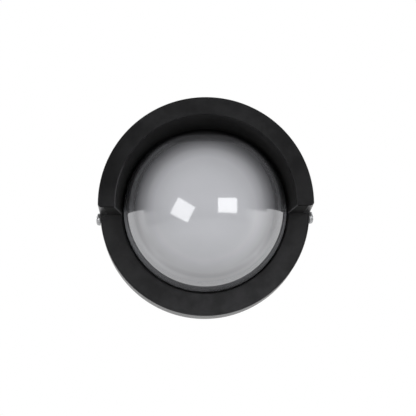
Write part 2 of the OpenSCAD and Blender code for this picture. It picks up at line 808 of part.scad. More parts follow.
module side_screw(side) {
    color("#b9bcc0") on_side(side) translate([0, 0, head_x]) rotate([0, 0, side > 0 ? 70 : 6])
        pan_screw(side_head_d / 2, side_head_h, side_shank_r, head_x - shank_end_x, true);
}

module side_washer(side) {
    color("#c9ccd0") on_side(side)
        tube_ring(side_head_d / 2 + 0.2, side_thread_r + 0.2, washer_x, head_x);
}

// Turns the wall's normal from z to the front, with y upwards
module stand() {
    rotate([90, 0, 0]) children();
}

stand() base_housing();
stand() wall_gasket();
stand() cable_grommet();
stand() front_gasket();
stand() terminal_block();
stand() terminal_inserts();
stand() terminal_screws();
stand() block_screws();
stand() earth_screw();
stand() earth_tag();
stand() earth_lead();
stand() live_lead();
stand() neutral_lead();
stand() gear_tray();
stand() tray_screws();
stand() tray_bush();
stand() holder_bracket();
stand() bracket_screws();
stand() lampholder();
stand() holder_shell();
stand() holder_contact();
stand() holder_screws();
stand() lamp();
stand() front_bezel();
stand() glass_gasket();
stand() glass_dome();
stand() glass_clips();
stand() clip_screws();
stand() side_screw(-1);  // left_screw
stand() side_washer(-1);  // left_washer
stand() side_screw(1);  // right_screw
stand() side_washer(1);  // right_washer
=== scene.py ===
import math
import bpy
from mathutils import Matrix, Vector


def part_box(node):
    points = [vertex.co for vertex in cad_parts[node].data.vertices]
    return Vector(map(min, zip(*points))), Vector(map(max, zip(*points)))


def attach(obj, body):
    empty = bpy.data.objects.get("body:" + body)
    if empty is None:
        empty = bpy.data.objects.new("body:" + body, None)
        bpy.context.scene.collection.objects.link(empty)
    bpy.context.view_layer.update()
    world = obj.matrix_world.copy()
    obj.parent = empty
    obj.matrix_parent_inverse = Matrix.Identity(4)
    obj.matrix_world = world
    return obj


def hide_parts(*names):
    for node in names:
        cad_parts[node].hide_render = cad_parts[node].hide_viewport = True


bl_info = {
    "name": "Outdoor wall light",
    "version": (1, 0, 0),
    "blender": (4, 5, 0),
    "location": "3D View > Sidebar > Wall light",
    "description": "Dresses the round outdoor wall light: glass, screws, lamp, wiring, finishes and studio",
    "category": "Object",
}

import bpy
import numpy as np
from bpy.props import FloatProperty, FloatVectorProperty, PointerProperty
from mathutils import Quaternion, Vector

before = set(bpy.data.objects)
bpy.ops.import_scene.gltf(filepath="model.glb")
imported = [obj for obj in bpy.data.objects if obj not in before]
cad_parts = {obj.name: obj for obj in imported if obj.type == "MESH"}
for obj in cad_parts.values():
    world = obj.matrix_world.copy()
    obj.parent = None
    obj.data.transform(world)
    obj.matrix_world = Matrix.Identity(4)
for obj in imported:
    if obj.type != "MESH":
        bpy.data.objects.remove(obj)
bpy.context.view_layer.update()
MM = 0.001
TAU = 2 * math.pi
BLACK, WHITE = (0.0, 0.0, 0.0), (1.0, 1.0, 1.0)

# Places of the CAD model that pieces and finishes follow: heights are z, and depths y, negative in front
# of the wall
RING_FACE = -45 * MM
HOOD_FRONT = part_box("front_bezel")[0].y
HOOD_END = -3 * MM
DOME_MIDDLE = -70 * MM
LAMP_AXIS = -48 * MM
# The hood's inner wall: its radius at the ring's face and at the lip, and what it gains over a depth of 1
HOOD_FOOT_RADIUS, HOOD_LIP_RADIUS, HOOD_DRAFT = 82.9 * MM, 87.1 * MM, 0.0717
# Highest corner of the glass: x is its flange's radius and y the flange's back
GLASS_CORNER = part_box("glass_dome")[1]

# Tone of the frost at shares of the glass's radius, from the crown to the neck; its fall towards the neck
# is painted shade
FROST_AND_SHADE_TONES = [(0.0, 1.0), (0.50, 1.0), (0.60, 0.97), (0.74, 0.61), (0.82, 0.35), (0.865, 0.26),
               (0.90, 0.29), (0.93, 0.27), (0.965, 0.16), (1.0, 0.02)]


# Surfaces


def closed_mesh(name, shells, sharp=35.0):
    """Makes one mesh of (points, faces) shells, where faces are quads that may repeat a corner.

    Points that coincide become one, a quad with a repeated corner becomes a triangle or goes,
    and a shell whose signed volume, the sum of a . (b x c) / 6 over its triangles, is negative
    is turned round, so that every face points outwards. Edges over sharp degrees stay sharp.
    """
    merge_distance = 1e-8
    vertices, faces, start = [], [], 0
    for points, quads in shells:
        keys = np.round(points / merge_distance).astype(np.int64)
        _, first, index = np.unique(keys, axis=0, return_index=True, return_inverse=True)
        points, quads = points[first], index.reshape(-1)[quads]
        same = quads == np.roll(quads, -1, axis=1)
        whole = quads[same.sum(1) == 0]
        once = same.sum(1) == 1
        tris = quads[once][~same[once]].reshape(-1, 3)
        fan = np.vstack([whole[:, [0, 1, 2]], whole[:, [0, 2, 3]], tris])
        a, b, c = points[fan[:, 0]], points[fan[:, 1]], points[fan[:, 2]]
        if np.einsum("ij,ij->", a, np.cross(b, c)) < 0:
            whole, tris = whole[:, ::-1], tris[:, ::-1]
        vertices.append(points)
        faces += (whole + start).tolist() + (tris + start).tolist()
        start += len(points)
    mesh = bpy.data.meshes.new(name)
    mesh.from_pydata(np.vstack(vertices).tolist(), [], faces)
    mesh.polygons.foreach_set("use_smooth", np.ones(len(faces), bool))
    mesh.set_sharp_from_angle(angle=math.radians(sharp))
    mesh.validate()
    return mesh


def quads_of(rows, columns, wrap_rows=False, wrap_columns=False):
    """Quads of a grid of rows x columns points, its last row or column joined to the first on a wrap."""
    i = np.arange(rows if wrap_rows else rows - 1)[:, None]
    j = np.arange(columns if wrap_columns else columns - 1)[None, :]
    k, m = (i + 1) % rows, (j + 1) % columns
    return np.stack([i * columns + j, k * columns + j, k * columns + m, i * columns + m],
                    axis=-1).reshape(-1, 4)


def revolve(profile, segments, place=None):
    """Closed profile of (radius, height) turned round the light's axis.

    x = radius * cos t, y = -height and z = radius * sin t. A radius that rounding leaves a little off
    the axis counts as 0. place maps the points elsewhere, as for the lamp, which lies across the light.
    """
    on_axis = 1e-7
    t = np.arange(segments) * TAU / segments
    r = np.where(profile[:, 0] < on_axis, 0, profile[:, 0])[:, None]
    h = profile[:, 1][:, None]
    points = np.stack([r * np.cos(t), -h + 0 * t, r * np.sin(t)], axis=-1).reshape(-1, 3)
    return (place(points) if place else points), quads_of(len(profile), segments, True, True)


def across(points):
    """Lays a shape made round the light's axis on the lamp's, with its height along x."""
    return np.stack([-points[:, 1], points[:, 0] + LAMP_AXIS, points[:, 2]], axis=1)


def threaded_rod(radius, depth, pitch, start, end, segments, place):
    """Rod with a rounded thread and flat ends: r = radius - depth * (1 - wave * fade).

    The wave is (1 + cos(TAU * height / pitch - t)) / 2, and fade lets it rise and die away over
    the first and last half pitch. place maps the points from the light's axis to where the rod is.
    """
    rows_per_turn = 14
    rows = int((end - start) / pitch * rows_per_turn)
    h = np.linspace(start, end, rows)[:, None]
    t = (np.arange(segments) * TAU / segments)[None, :]
    wave = 0.5 + 0.5 * np.cos(TAU * h / pitch - t)
    fade = np.clip(np.minimum(h - start, end - h) / (0.5 * pitch), 0, 1)
    r = radius - depth * (1 - wave * fade)
    body = np.stack([r * np.cos(t), -h + 0 * t, r * np.sin(t)], axis=-1)
    low = np.broadcast_to([0, -start, 0], (1, segments, 3))
    high = np.broadcast_to([0, -end, 0], (1, segments, 3))
    points = np.concatenate([low, body, high]).reshape(-1, 3)
    return place(points), quads_of(rows + 2, segments, False, True)


def arc(cx, cy, radius, a0, a1, steps):
    """Points at equal angles from a0 to a1, in degrees, on a circle round (cx, cy)."""
    a = np.radians(np.linspace(a0, a1, steps))
    return np.stack([cx + radius * np.cos(a), cy + radius * np.sin(a)], axis=1)


def pan_head(radius, height, slot_width, slot_depth, turn):
    """Slotted pan head on z = 0: chords x = const across a disc, y = v sqrt(R^2 - x^2).

    Its top is height * (1 - 0.35 u^3 - 0.3 u^10) with u = rho / R, and between the slot's walls
    it is cut down to a flat floor. The chords crowd towards the rim.
    """
    chords, stations = 22, 41
    half, wall = slot_width / 2, 0.02 * MM
    outer = half + (radius - half) * np.sin(np.linspace(0, math.pi / 2, chords))
    floor = np.linspace(-half * 0.6, half * 0.6, 3)
    x = np.concatenate([-outer[::-1], [-half + wall], floor, [half - wall], outer])
    v = np.sin(np.linspace(-math.pi / 2, math.pi / 2, stations))
    y = v[None, :] * np.sqrt(np.maximum(radius ** 2 - x[:, None] ** 2, 0))
    u = np.sqrt(x[:, None] ** 2 + y ** 2) / radius
    z = height * (1 - 0.35 * u ** 3 - 0.3 * u ** 10)
    z = np.where(np.abs(x[:, None]) < half - wall / 2, np.minimum(z, height - slot_depth), z)
    ends = np.zeros((len(x), 1))
    y = np.concatenate([y[:, :1], y, y[:, -1:]], axis=1)
    z = np.concatenate([ends, z, ends], axis=1)
    c, s = math.cos(turn), math.sin(turn)
    x = x[:, None] + 0 * y
    points = np.stack([x * c - y * s, x * s + y * c, z], axis=-1).reshape(-1, 3)
    return points, quads_of(len(x), y.shape[1], False, True)


def spline(stations, steps):
    """Smooth curve through the stations, as a cubic for each span.

    Its slope at a station is half the chord between the two stations beside it.
    """
    p = np.array(stations, float)
    before = np.vstack([p[:1], p[:-2]])
    after = np.vstack([p[2:], p[-1:]])
    b, c = p[:-1], p[1:]
    u = np.arange(steps)[:, None, None] / steps
    span = 0.5 * (2 * b + (c - before) * u + (2 * before - 5 * b + 4 * c - after) * u ** 2
                  + (3 * b - before - 3 * c + after) * u ** 3)
    return np.vstack([span.transpose(1, 0, 2).reshape(-1, 3), p[-1:]])


def swing(start, end, side, sag, shares):
    """Slack stations between two, at shares of the way.

    Each is start + share * (end - start) + (0, side, -sag) * sin(share * 180 degrees).
    """
    start, end, share = np.array(start, float), np.array(end, float), np.array(shares)[:, None]
    return start + share * (end - start) + np.array([0, side, -sag]) * np.sin(share * math.pi)


def hose(path, radius):
    """Round tube along a path: centre + r (cos t n + sin t b).

    n is one fixed direction made square to the path, and b is square to both.
    """
    sides, guide = 20, np.array([0.31, 0.52, -0.79])
    along = np.gradient(path, axis=0)
    along /= np.linalg.norm(along, axis=1)[:, None]
    n = guide - (along @ guide)[:, None] * along
    n /= np.linalg.norm(n, axis=1)[:, None]
    b = np.cross(along, n)
    t = (np.arange(sides) * TAU / sides)[None, :, None]
    body = path[:, None] + radius * (np.cos(t) * n[:, None] + np.sin(t) * b[:, None])
    ends = [np.repeat(path[k][None, None], sides, axis=1) for k in (0, -1)]
    points = np.concatenate([ends[0], body, ends[1]]).reshape(-1, 3)
    return points, quads_of(len(path) + 2, sides, False, True)


def map_along(mesh, path):
    """UV map of a lead: u is the turn round its path, v the length along it, at the path's nearest point.

    The turn is the arctangent of the offset's parts along two fixed directions, nearly square to
    each other.
    """
    upward, sideways = np.array([0.3, 0.5, 0.81]), np.array([0.9, -0.4, 0.1])
    places = np.empty(len(mesh.vertices) * 3)
    mesh.vertices.foreach_get("co", places)
    places = places.reshape(-1, 3)
    nearest = np.argmin(((places[:, None] - path[None]) ** 2).sum(2), axis=1)
    offset = places - path[nearest]
    turns = np.arctan2(offset @ upward, offset @ sideways) / TAU
    lengths = np.concatenate([[0], np.cumsum(np.linalg.norm(np.diff(path, axis=0), axis=1))])
    corner = np.empty(len(mesh.loops), np.int64)
    mesh.loops.foreach_get("vertex_index", corner)
    uv = np.stack([turns[corner], lengths[nearest][corner]], axis=1)
    mesh.uv_layers.new(name="sleeve").data.foreach_set("uv", uv.ravel())


# Shaders


class Socket:
    """One output in a node tree. Arithmetic on it adds Math nodes."""

    def __init__(self, tree, socket):
        self.tree, self.socket = tree, socket

    def math(self, operation, *values):
        inputs = dict(enumerate((self,) + values))
        return self.tree.node("ShaderNodeMath", {"operation": operation}, inputs)

    def __add__(self, other):
        return self.math("ADD", other)

    def __sub__(self, other):
        return self.math("SUBTRACT", other)

    def __rsub__(self, other):
        return self.tree.node("ShaderNodeMath", {"operation": "SUBTRACT"}, {0: other, 1: self})

    def __mul__(self, other):
        return self.math("MULTIPLY", other)

    def __truediv__(self, other):
        return self.math("DIVIDE", other)

    def __pow__(self, other):
        return self.math("POWER", other)

    __radd__, __rmul__ = __add__, __mul__

    def negative_part(self):
        """The value where it is below 0, and 0 elsewhere."""
        return self.math("MINIMUM", 0.0)

    def positive_part(self):
        """The value where it is above 0, and 0 elsewhere."""
        return self.math("MAXIMUM", 0.0)

    def step(self, low, high):
        """0 below low, 1 above high and a smooth rise between."""
        return self.tree.node("ShaderNodeMapRange", {"interpolation_type": "SMOOTHSTEP"},
                              {"Value": self, "From Min": low, "From Max": high})

    def fall(self, low, high):
        """1 below low, 0 above high and a smooth fall between."""
        return 1 - self.step(low, high)

    def band(self, centre, inner, outer):
        """1 within inner of the centre, 0 beyond outer from it and a smooth fall between."""
        return (self - centre).math("ABSOLUTE").fall(inner, outer)


class Tree:
    """A node tree with one way to add any node."""

    def __init__(self, owner):
        owner.use_nodes = True
        self.tree = owner.node_tree
        self.tree.nodes.clear()

    def node(self, kind, settings=None, inputs=None, output=0):
        """Adds a node, with its settings first and then its sockets' values or links, for one output."""
        made = self.tree.nodes.new(kind)
        for name, value in (settings or {}).items():
            if name == "stops":
                ramp = made.color_ramp
                while len(ramp.elements) < len(value):
                    ramp.elements.new(0.5)
                for element, (place, colour) in zip(ramp.elements, value):
                    element.position, element.color = place, (*colour, 1)
            else:
                setattr(made, name, value)
        for name, value in (inputs or {}).items():
            if isinstance(value, Socket):
                self.tree.links.new(value.socket, made.inputs[name])
            elif isinstance(value, tuple) and made.inputs[name].type == "RGBA":
                made.inputs[name].default_value = (*value, 1)
            else:
                made.inputs[name].default_value = value
        return Socket(self, made.outputs[output]) if made.outputs else None

    def place(self, centre=(0, 0, 0)):
        """Object coordinates, with a pattern's centre from a Mapping node."""
        raw = self.node("ShaderNodeTexCoord", output=3)
        return self.node("ShaderNodeMapping", {"vector_type": "TEXTURE"},
                         {"Vector": raw, "Location": centre})

    def axes(self, vector):
        """The x, y and z of a vector."""
        parts = self.node("ShaderNodeSeparateXYZ", {}, {0: vector}).socket.node
        return [Socket(self, out) for out in parts.outputs]

    def rays(self):
        """1 on rays from the camera, from gloss and through glass, in that order, and 0 on all others."""
        outputs = self.node("ShaderNodeLightPath").socket.node.outputs
        kinds = ("Camera", "Glossy", "Transmission")
        return [Socket(self, outputs["Is %s Ray" % kind]) for kind in kinds]

    def grazing(self):
        """0 where the surface faces the eye, rising to 1 where it is seen edge on."""
        return self.node("ShaderNodeLayerWeight", {}, {"Blend": 0.5}, output=1)

    def noise(self, vector, scale, detail=2.0, roughness=0.5):
        return self.node("ShaderNodeTexNoise", {}, {"Vector": vector, "Scale": scale,
                                                    "Detail": detail, "Roughness": roughness})

    def blend(self, factor, a, b):
        """Colour a where the factor is 0, b where it is 1."""
        return self.node("ShaderNodeMix", {"data_type": "RGBA"}, {0: factor, 6: a, 7: b}, output=2)

    def bump(self, height, strength, distance, **normal):
        """Relief on the surface, or on the normal given as Normal."""
        return self.node("ShaderNodeBump", {}, {"Height": height, "Strength": strength,
                                                "Distance": distance, **normal})

    def principled(self, **inputs):
        """Principled surface; keyword names are its sockets with _ for a space."""
        named = {name.replace("_", " "): value for name, value in inputs.items()}
        return self.node("ShaderNodeBsdfPrincipled", {}, named)

    def mix(self, factor, a, b):
        """Surface a where the factor is 0, b where it is 1."""
        return self.node("ShaderNodeMixShader", {}, {0: factor, 1: a, 2: b})

    def output(self, surface, kind="ShaderNodeOutputMaterial"):
        self.node(kind, {}, {"Surface": surface})


def scaled(colour, factor):
    """A colour times a factor, with no channel over 1."""
    return tuple(min(1.0, c * factor) for c in colour)


def material(name):
    """A new material and its empty tree."""
    made = bpy.data.materials.new(name)
    return made, Tree(made)


def radius_of(x, z):
    """Distance from an axis along y: the root of x^2 + z^2."""
    return (x * x + z * z) ** 0.5


def casting_masks(t, at):
    """Where painted light and shade go on the front casting's coat, from x, y, z and the distance from the
    light's axis.

    ends: painted shadow on the hood's level ends, a thin band of z in front of the ring's face, up to their
    outer corners
    edge highlight: painted highlights on the ends' inner corners, along the hood's inner wall,
    radius = foot + draft * (face - y), and on the lip of the hood's mouth on the left
    foot: painted light on the ring's face, more towards its foot and less to the left
    sides: painted shade on the hood's front, more on the left side than on the right and not at its ends
    """
    x, y, z = t.axes(at)
    distance = radius_of(x, z)
    # Painted shadow on the hood's level ends, a thin band in front of the ring's face
    ends = z.step(HOOD_END - 0.6 * MM, HOOD_END - 0.2 * MM)
    ends = ends * z.fall(HOOD_END + 0.2 * MM, HOOD_END + 0.9 * MM)
    ends = ends * y.fall(RING_FACE - 2.0 * MM, RING_FACE - 1.2 * MM) * distance.fall(97.5 * MM, 99.0 * MM)
    inner_wall = HOOD_FOOT_RADIUS - HOOD_DRAFT * (y - RING_FACE)
    # Painted highlights along the inner corners of the ends and on the lip of the hood's mouth
    corner = ends * distance.band(inner_wall, 0.4 * MM, 1.2 * MM)
    lip = distance.band(HOOD_LIP_RADIUS, 0.3 * MM, 1.0 * MM) * (x + z).fall(-60 * MM, -28 * MM)
    lip = lip * y.fall(HOOD_FRONT + 0.8 * MM, HOOD_FRONT + 1.2 * MM)
    painted_edge_highlight = corner.math("MAXIMUM", lip * 0.55)
    # Painted light on the ring's face, more towards its foot and the right
    foot = z.fall(-85 * MM, -15 * MM) * (0.42 + 4.5 * x.negative_part())
    foot = foot * y.fall(RING_FACE + 0.5 * MM, RING_FACE + 3.0 * MM)
    # Painted shade on the hood's front, more on the left than on the right
    sides = 0.5 * x.fall(-95 * MM, -55 * MM) + 0.2 * x.step(55 * MM, 95 * MM)
    sides = sides * z.step(0.0, 20 * MM) * y.fall(HOOD_FRONT + 1.0 * MM, HOOD_FRONT + 3.0 * MM)
    return ends, painted_edge_highlight, foot, sides


def powder_coat(name, colour, grain, edge):
    """Satin powder coat: a cloudy change of tone, fine grain, a low orange peel and softened edges.

    It is a little smoother where it is seen at a grazing angle. On the front casting painted light makes it
    paler at the foot, painted shade darker on the hood's sides, and a painted shadow nearly black on the
    hood's ends, which are also matt; painted highlights make it paler along their inner corners and the
    lip.
    """
    made, t = material(name)
    at = t.place()
    cloud = t.noise(at, 45.0, 4.0, 0.6)
    fine = t.noise(at, 1 / grain, 2.0, 0.6)
    peel = t.noise(at, 0.16 / grain)
    clouds, flecks = cloud.step(0.36, 0.66), fine.step(0.60, 0.74)
    soft = t.node("ShaderNodeBevel", {"samples": 8}, {"Radius": edge})
    ends, painted_edge_highlight, foot, sides = casting_masks(t, at)
    base = t.blend(clouds, scaled(colour, 0.80), scaled(colour, 1.20))
    # Painted light makes the ring's foot paler
    base = t.blend(foot, base, t.blend(clouds, scaled(colour, 2.0), scaled(colour, 3.2)))
    base = t.blend(flecks * 0.45, base, scaled(colour, 1.9))
    # Painted shade darkens the hood's sides
    base = t.blend(sides, base, BLACK)
    # Near black painted shadow on the hood's ends
    base = t.blend(ends * 0.95, base, BLACK)
    satin = (0.30 + 0.11 * cloud + 0.04 * fine) * (1 - 0.22 * t.grazing().step(0.70, 0.95))
    # Painted highlights paler along the ends' inner corners and the lip
    t.output(t.principled(Base_Color=t.blend(painted_edge_highlight, base, scaled(colour, 5.5)),
                          Roughness=satin + 0.45 * ends,
                          Normal=t.bump(fine * 0.45 + peel, 0.22, 0.22 * MM, Normal=soft),
                          Specular_IOR_Level=0.06, Sheen_Weight=0.019, Sheen_Roughness=0.5))
    return made


def frost_and_shade_share(t, below_axis, radius, mould_radius):
    """How much of the frost's colour shows under painted shade and light, from x, z and the distance from
    the light's axis, in metres.

    The tone falls as painted shade along a ramp of the distance from a point a little below the axis, and a
    little more downwards, z < 0, and to the left, x < 0. At the mould line round the axis stand a pale ring
    of painted light and a dark ring of painted shade, with a painted highlight beside them at the lower
    left and right. The top, under the hood, darkens in two steps of painted shadow. A painted reflection on
    the neck, palest at its sides, comes before the flange, darkened as the painted shadow of the gap.
    """
    off_x, _, off_z = t.axes(below_axis)
    x, _, z = t.axes(t.place())
    distance = radius_of(x, z)
    # Painted shade: the ramp falls towards the neck
    ramp = t.node("ShaderNodeValToRGB", {"stops": [(place, (tone,) * 3) for place, tone in FROST_AND_SHADE_TONES]},
                  {0: radius_of(off_x, off_z) / radius})
    left, right, low = x.negative_part(), x.positive_part(), z.negative_part()
    on_axes = (x * x - z * z).math("ABSOLUTE") / (distance * distance)
    # At the mould line: a pale ring of painted light, a dark ring of painted shade and a painted highlight
    # beside them
    ridge_light = distance.band(mould_radius + 0.8 * MM, 0.6 * MM, 3.4 * MM) * (0.05 - 1.2 * left)
    groove_shade = distance.band(mould_radius - 3.8 * MM, 0.5 * MM, 3.0 * MM) * (0.055 - 0.5 * low)
    groove_shade = groove_shade * (0.15 + 0.85 * on_axes)
    lower_highlight = distance.band(mould_radius - 2.5 * MM, 2.0 * MM, 6.0 * MM) * z.fall(-45 * MM, -15 * MM)
    lower_highlight = lower_highlight * (1 - on_axes) * (0.12 + 1.6 * right)
    # Painted shadow of the hood over the top, in two steps
    shade = 0.34 * z.step(60.5 * MM, 64.0 * MM) + 0.42 * z.step(69.0 * MM, 71.5 * MM)
    # Painted reflection on the neck, palest at its sides
    neck = distance.step(radius - 4.2 * MM, radius - 2.2 * MM) * (0.36 - 4.7 * z + 8.9 * low)
    # Painted shadow of the gap at the ring, which darkens the flange
    flange = distance.step(radius + 0.1 * MM, radius + 0.4 * MM)
    # Painted shade: paler upwards, darker downwards and to the left
    share = t.axes(ramp)[0] * (1 + 1.5 * z + 2.2 * low + 1.2 * left)
    share = (share + ridge_light - groove_shade + lower_highlight) * (1 - shade)
    return (share + neck) * (1 - 0.9 * flange)


def glass_finish(name, colour, gloss_colour, radius, mould_radius):
    """Pressed glass, frosted inside and glossy outside, with painted shade that darkens it towards the
    neck.

    The gloss is a mirror over the frost, and its share grows with the slope of the surface.
    """
    made, t = material(name)
    # Centre of the painted shade's ramp, a little below and left of the axis; the ripple uses it too
    below_axis = t.place((-1.0 * MM, 0, -5.0 * MM))
    ripple = t.noise(below_axis, 26.0)
    # The frost's colour times its share, which carries painted shade and light
    frost = t.blend(frost_and_shade_share(t, below_axis, radius, mould_radius), BLACK, colour)
    base = t.principled(Base_Color=t.blend(ripple * 0.08, frost, BLACK),
                        Roughness=0.55 + 0.08 * ripple, Specular_IOR_Level=0.0)
    gloss = t.principled(Base_Color=gloss_colour, Metallic=1.0, Roughness=0.08,
                         Normal=t.bump(ripple, 0.04, 0.6 * MM))
    slope = t.grazing()
    mirror = 0.083 + 0.155 * slope.step(0.06, 0.22) + 0.10 * slope.step(0.35, 0.70)
    t.output(t.mix(mirror, base, gloss))
    return made


def plated(name, colour, roughness, grain):
    """Plated or drawn metal: fine mottling and a wide change of gloss."""
    made, t = material(name)
    at = t.place()
    mottle = t.noise(at, 1 / grain, 3.0, 0.6)
    wide = t.noise(at, 130.0)
    t.output(t.principled(Base_Color=t.blend(mottle.step(0.3, 0.75), scaled(colour, 0.72), colour),
                          Metallic=1.0, Roughness=roughness - 0.1 + 0.2 * mottle + 0.08 * wide,
                          Normal=t.bump(mottle, 0.12, 0.1 * MM)))
    return made


def moulded(name, colour, roughness, grain, depth, coat=0.0):
    """Moulded or fired surface: a faint change of tone, a fine grain and, on a glaze, a clear coat."""
    made, t = material(name)
    at = t.place()
    tone = t.noise(at, 60.0)
    fine = t.noise(at, 1 / grain)
    t.output(t.principled(
        Base_Color=t.blend(tone.step(0.35, 0.7), scaled(colour, 0.955), scaled(colour, 1.03)),
        Roughness=roughness - 0.04 + 0.08 * fine, Normal=t.bump(fine, 0.15, depth),
        Coat_Weight=coat, Coat_Roughness=0.06))
    return made


def foam_finish(name, colour):
    """Closed cell foam: small round cells with painted shade, darker away from their centres."""
    made, t = material(name)
    cells = t.node("ShaderNodeTexVoronoi", {"feature": "F1"}, {"Vector": t.place(), "Scale": 900.0})
    t.output(t.principled(
        Base_Color=t.blend(cells.step(0.1, 0.7), scaled(colour, 1.35), scaled(colour, 0.55)),
        Roughness=0.86 + 0.1 * cells, Normal=t.bump(cells, 0.5, 0.4 * MM)))
    return made


def earth_sleeve(name, green, yellow, pitch):
    """Green insulation with a yellow stripe that winds slowly round the lead, from its own UV map."""
    made, t = material(name)
    u, v, _ = t.axes(t.node("ShaderNodeTexCoord", output=2))
    wave = (u + v / pitch).math("FRACT")
    stripe = (wave - 0.5).math("ABSOLUTE").step(0.19, 0.21)
    grain = t.noise(t.place(), 900.0)
    t.output(t.principled(Base_Color=t.blend(stripe, green, yellow), Roughness=0.38 + 0.1 * grain,
                          Normal=t.bump(grain, 0.06, 0.1 * MM)))
    return made


def surround(t, direction, dark):
    """Tone that gloss shows of the room: dark towards the camera, y = -1, and white from the sides on.

    The white starts nearer the camera on the right, x > 0, and further from it below, z < 0.
    """
    x, y, z = t.axes(direction)
    white = (y + 0.45 * x.positive_part() + 0.16 * z).step(-0.62, 0.10)
    return dark + (1 - dark) * white


def white_surface(name, colour, dark, floor_share=None):
    """Matt white that the camera, gloss and glass see as white.

    A floor shows the camera only a share of white, so that it keeps the shadow, and gloss the room's tone.
    """
    made, t = material(name)
    camera, glossy, clear = t.rays()
    if floor_share:
        away = t.node("ShaderNodeVectorMath", {"operation": "NORMALIZE"}, {0: t.place()})
        camera, glossy = camera * floor_share, glossy * surround(t, away, dark)
    seen = camera.math("MAXIMUM", glossy).math("MAXIMUM", clear)
    tooth = t.noise(t.place(), 60.0)
    matt = t.node("ShaderNodeBsdfDiffuse", {},
                  {"Color": t.blend(tooth * 0.3, colour, scaled(colour, 0.96))})
    glow = t.node("ShaderNodeEmission", {}, {"Color": WHITE, "Strength": 1.0})
    t.output(t.mix(seen, matt, glow))
    return made


def studio_world(ambient, dark):
    """World that is white to the camera and through glass, and shows gloss the room in its lower half.

    All else is lit by ambient * (1 - 0.55 y + 0.65 z), with z where it is negative: more from the
    camera's side and less from below.
    """
    world = bpy.data.worlds.new("studio")
    t = Tree(world)
    camera, glossy, clear = t.rays()
    shown = camera.math("MAXIMUM", clear)
    direction = t.node("ShaderNodeTexCoord")
    _, y, z = t.axes(direction)
    room = dark + z.fall(-0.03, 0.03) * (surround(t, direction, dark) - dark)
    around = ambient * (1 - 0.55 * y + 0.65 * z.negative_part())
    strength = shown + (1 - shown) * (glossy * room + (1 - glossy) * around)
    light = t.node("ShaderNodeBackground", {}, {"Color": WHITE, "Strength": strength})
    t.output(light, "ShaderNodeOutputWorld")
    return world


# Settings


def length(name, description, default, low=0.0):
    return FloatProperty(name=name, description=description, default=default, min=low, max=5.0,
                         unit="LENGTH", subtype="DISTANCE", precision=4)


def position(name, description, default):
    return FloatVectorProperty(name=name, description=description, default=default, size=3,
                               unit="LENGTH", subtype="TRANSLATION")


def colour(name, description, default):
    return FloatVectorProperty(name=name, description=description, default=default, size=3,
                               min=0.0, max=1.0, subtype="COLOR")


def angle(name, description, degrees):
    return FloatProperty(name=name, description=description, default=math.radians(degrees),
                         subtype="ANGLE", unit="ROTATION")


def power(name, description, default):
    return FloatProperty(name=name, description=description, default=default, min=0.0, unit="POWER")


def fraction(name, description, default):
    return FloatProperty(name=name, description=description, default=default, min=0.0, max=1.0,
                         subtype="FACTOR")


class StudioSettings(bpy.types.PropertyGroup):
    camera_distance: length("Camera distance", "Camera to the front ring", 1.400)
    camera_side: angle("Camera side", "Angle of the camera to the right of the light", -1.1)
    camera_rise: angle("Camera rise", "Angle of the camera above the light", -7.0)
    camera_roll: angle("Camera roll", "Turn of the camera round its own axis", -0.65)
    lens: FloatProperty(name="Lens", description="Focal length", default=121.0, min=20, max=300,
                        unit="CAMERA")
    aim_right: length("Aim right", "Point aimed at, right of the ring's centre", 0.0030, -1.0)
    aim_up: length("Aim up", "Point aimed at, above the ring's centre", 0.0029, -1.0)
    lamp_distance: length("Softbox distance", "Softboxes to the glass", 1.5)
    left_side: angle("Left softbox side", "Direction of the left softbox", -28.4)
    left_rise: angle("Left softbox rise", "Height of the left softbox", -2.2)
    left_turn: angle("Left softbox turn", "Turn of the left softbox in its own plane", -31.0)
    left_width: length("Left softbox width", "Width of the left softbox", 0.66)
    left_height: length("Left softbox height", "Height of the left softbox", 0.56)
    left_power: power("Left softbox power", "Power of the left softbox", 5.75)
    right_side: angle("Right softbox side", "Direction of the right softbox", 27.3)
    right_rise: angle("Right softbox rise", "Height of the right softbox", 2.9)
    right_width: length("Right softbox width", "Width of the right softbox", 0.64)
    right_height: length("Right softbox height", "Height of the right softbox", 0.47)
    right_power: power("Right softbox power", "Power of the right softbox", 5.3)
    fill_place: position("Front fill place", "Place of the front fill", (0.1, -1.5, 0.9))
    fill_width: length("Front fill width", "Width of the front fill", 1.0)
    fill_height: length("Front fill height", "Height of the front fill", 0.8)
    fill_power: power("Front fill power", "Power of the front fill", 1.0)
    back_place: position("Back light place", "Place of the right back light, mirrored on the left",
                         (1.3, 1.2, 0.7))
    back_width: length("Back light width", "Width and height of a back light", 0.9)
    back_power: power("Back light power", "Power of a back light", 7.0)
    ambient: FloatProperty(name="Ambient", description="Plain light from all round", default=0.50, min=0)
    dark_side: fraction("Dark side", "Tone that gloss shows of the room behind the camera", 0.16)
    floor_share: fraction("Floor share", "Share of white that the floor shows the camera", 0.72)
    cove_radius: length("Cove radius", "Radius of the white cove behind the light", 2.0)
    cove_height: length("Cove height", "Height of the cove", 3.2)
    cove_bend: length("Cove bend", "Radius of the bend from the cove to the floor", 0.3)
    floor_drop: length("Floor drop", "Floor below the middle of the light", 0.62)
    floor_front: length("Floor in front", "Reach of the floor in front, beyond the cove's radius", 0.6)
    paper: colour("Paper", "Colour of the floor and cove", (0.82, 0.82, 0.82))


class CastingSettings(bpy.types.PropertyGroup):
    coat: colour("Powder coat", "Black powder coat of the castings", (0.0148, 0.0148, 0.0155))
    grain: length("Grain", "Size of the coat's fine grain", 0.0007)
    soft_edge: length("Soft edge", "Radius to which the coat softens the cast edges", 0.0008)


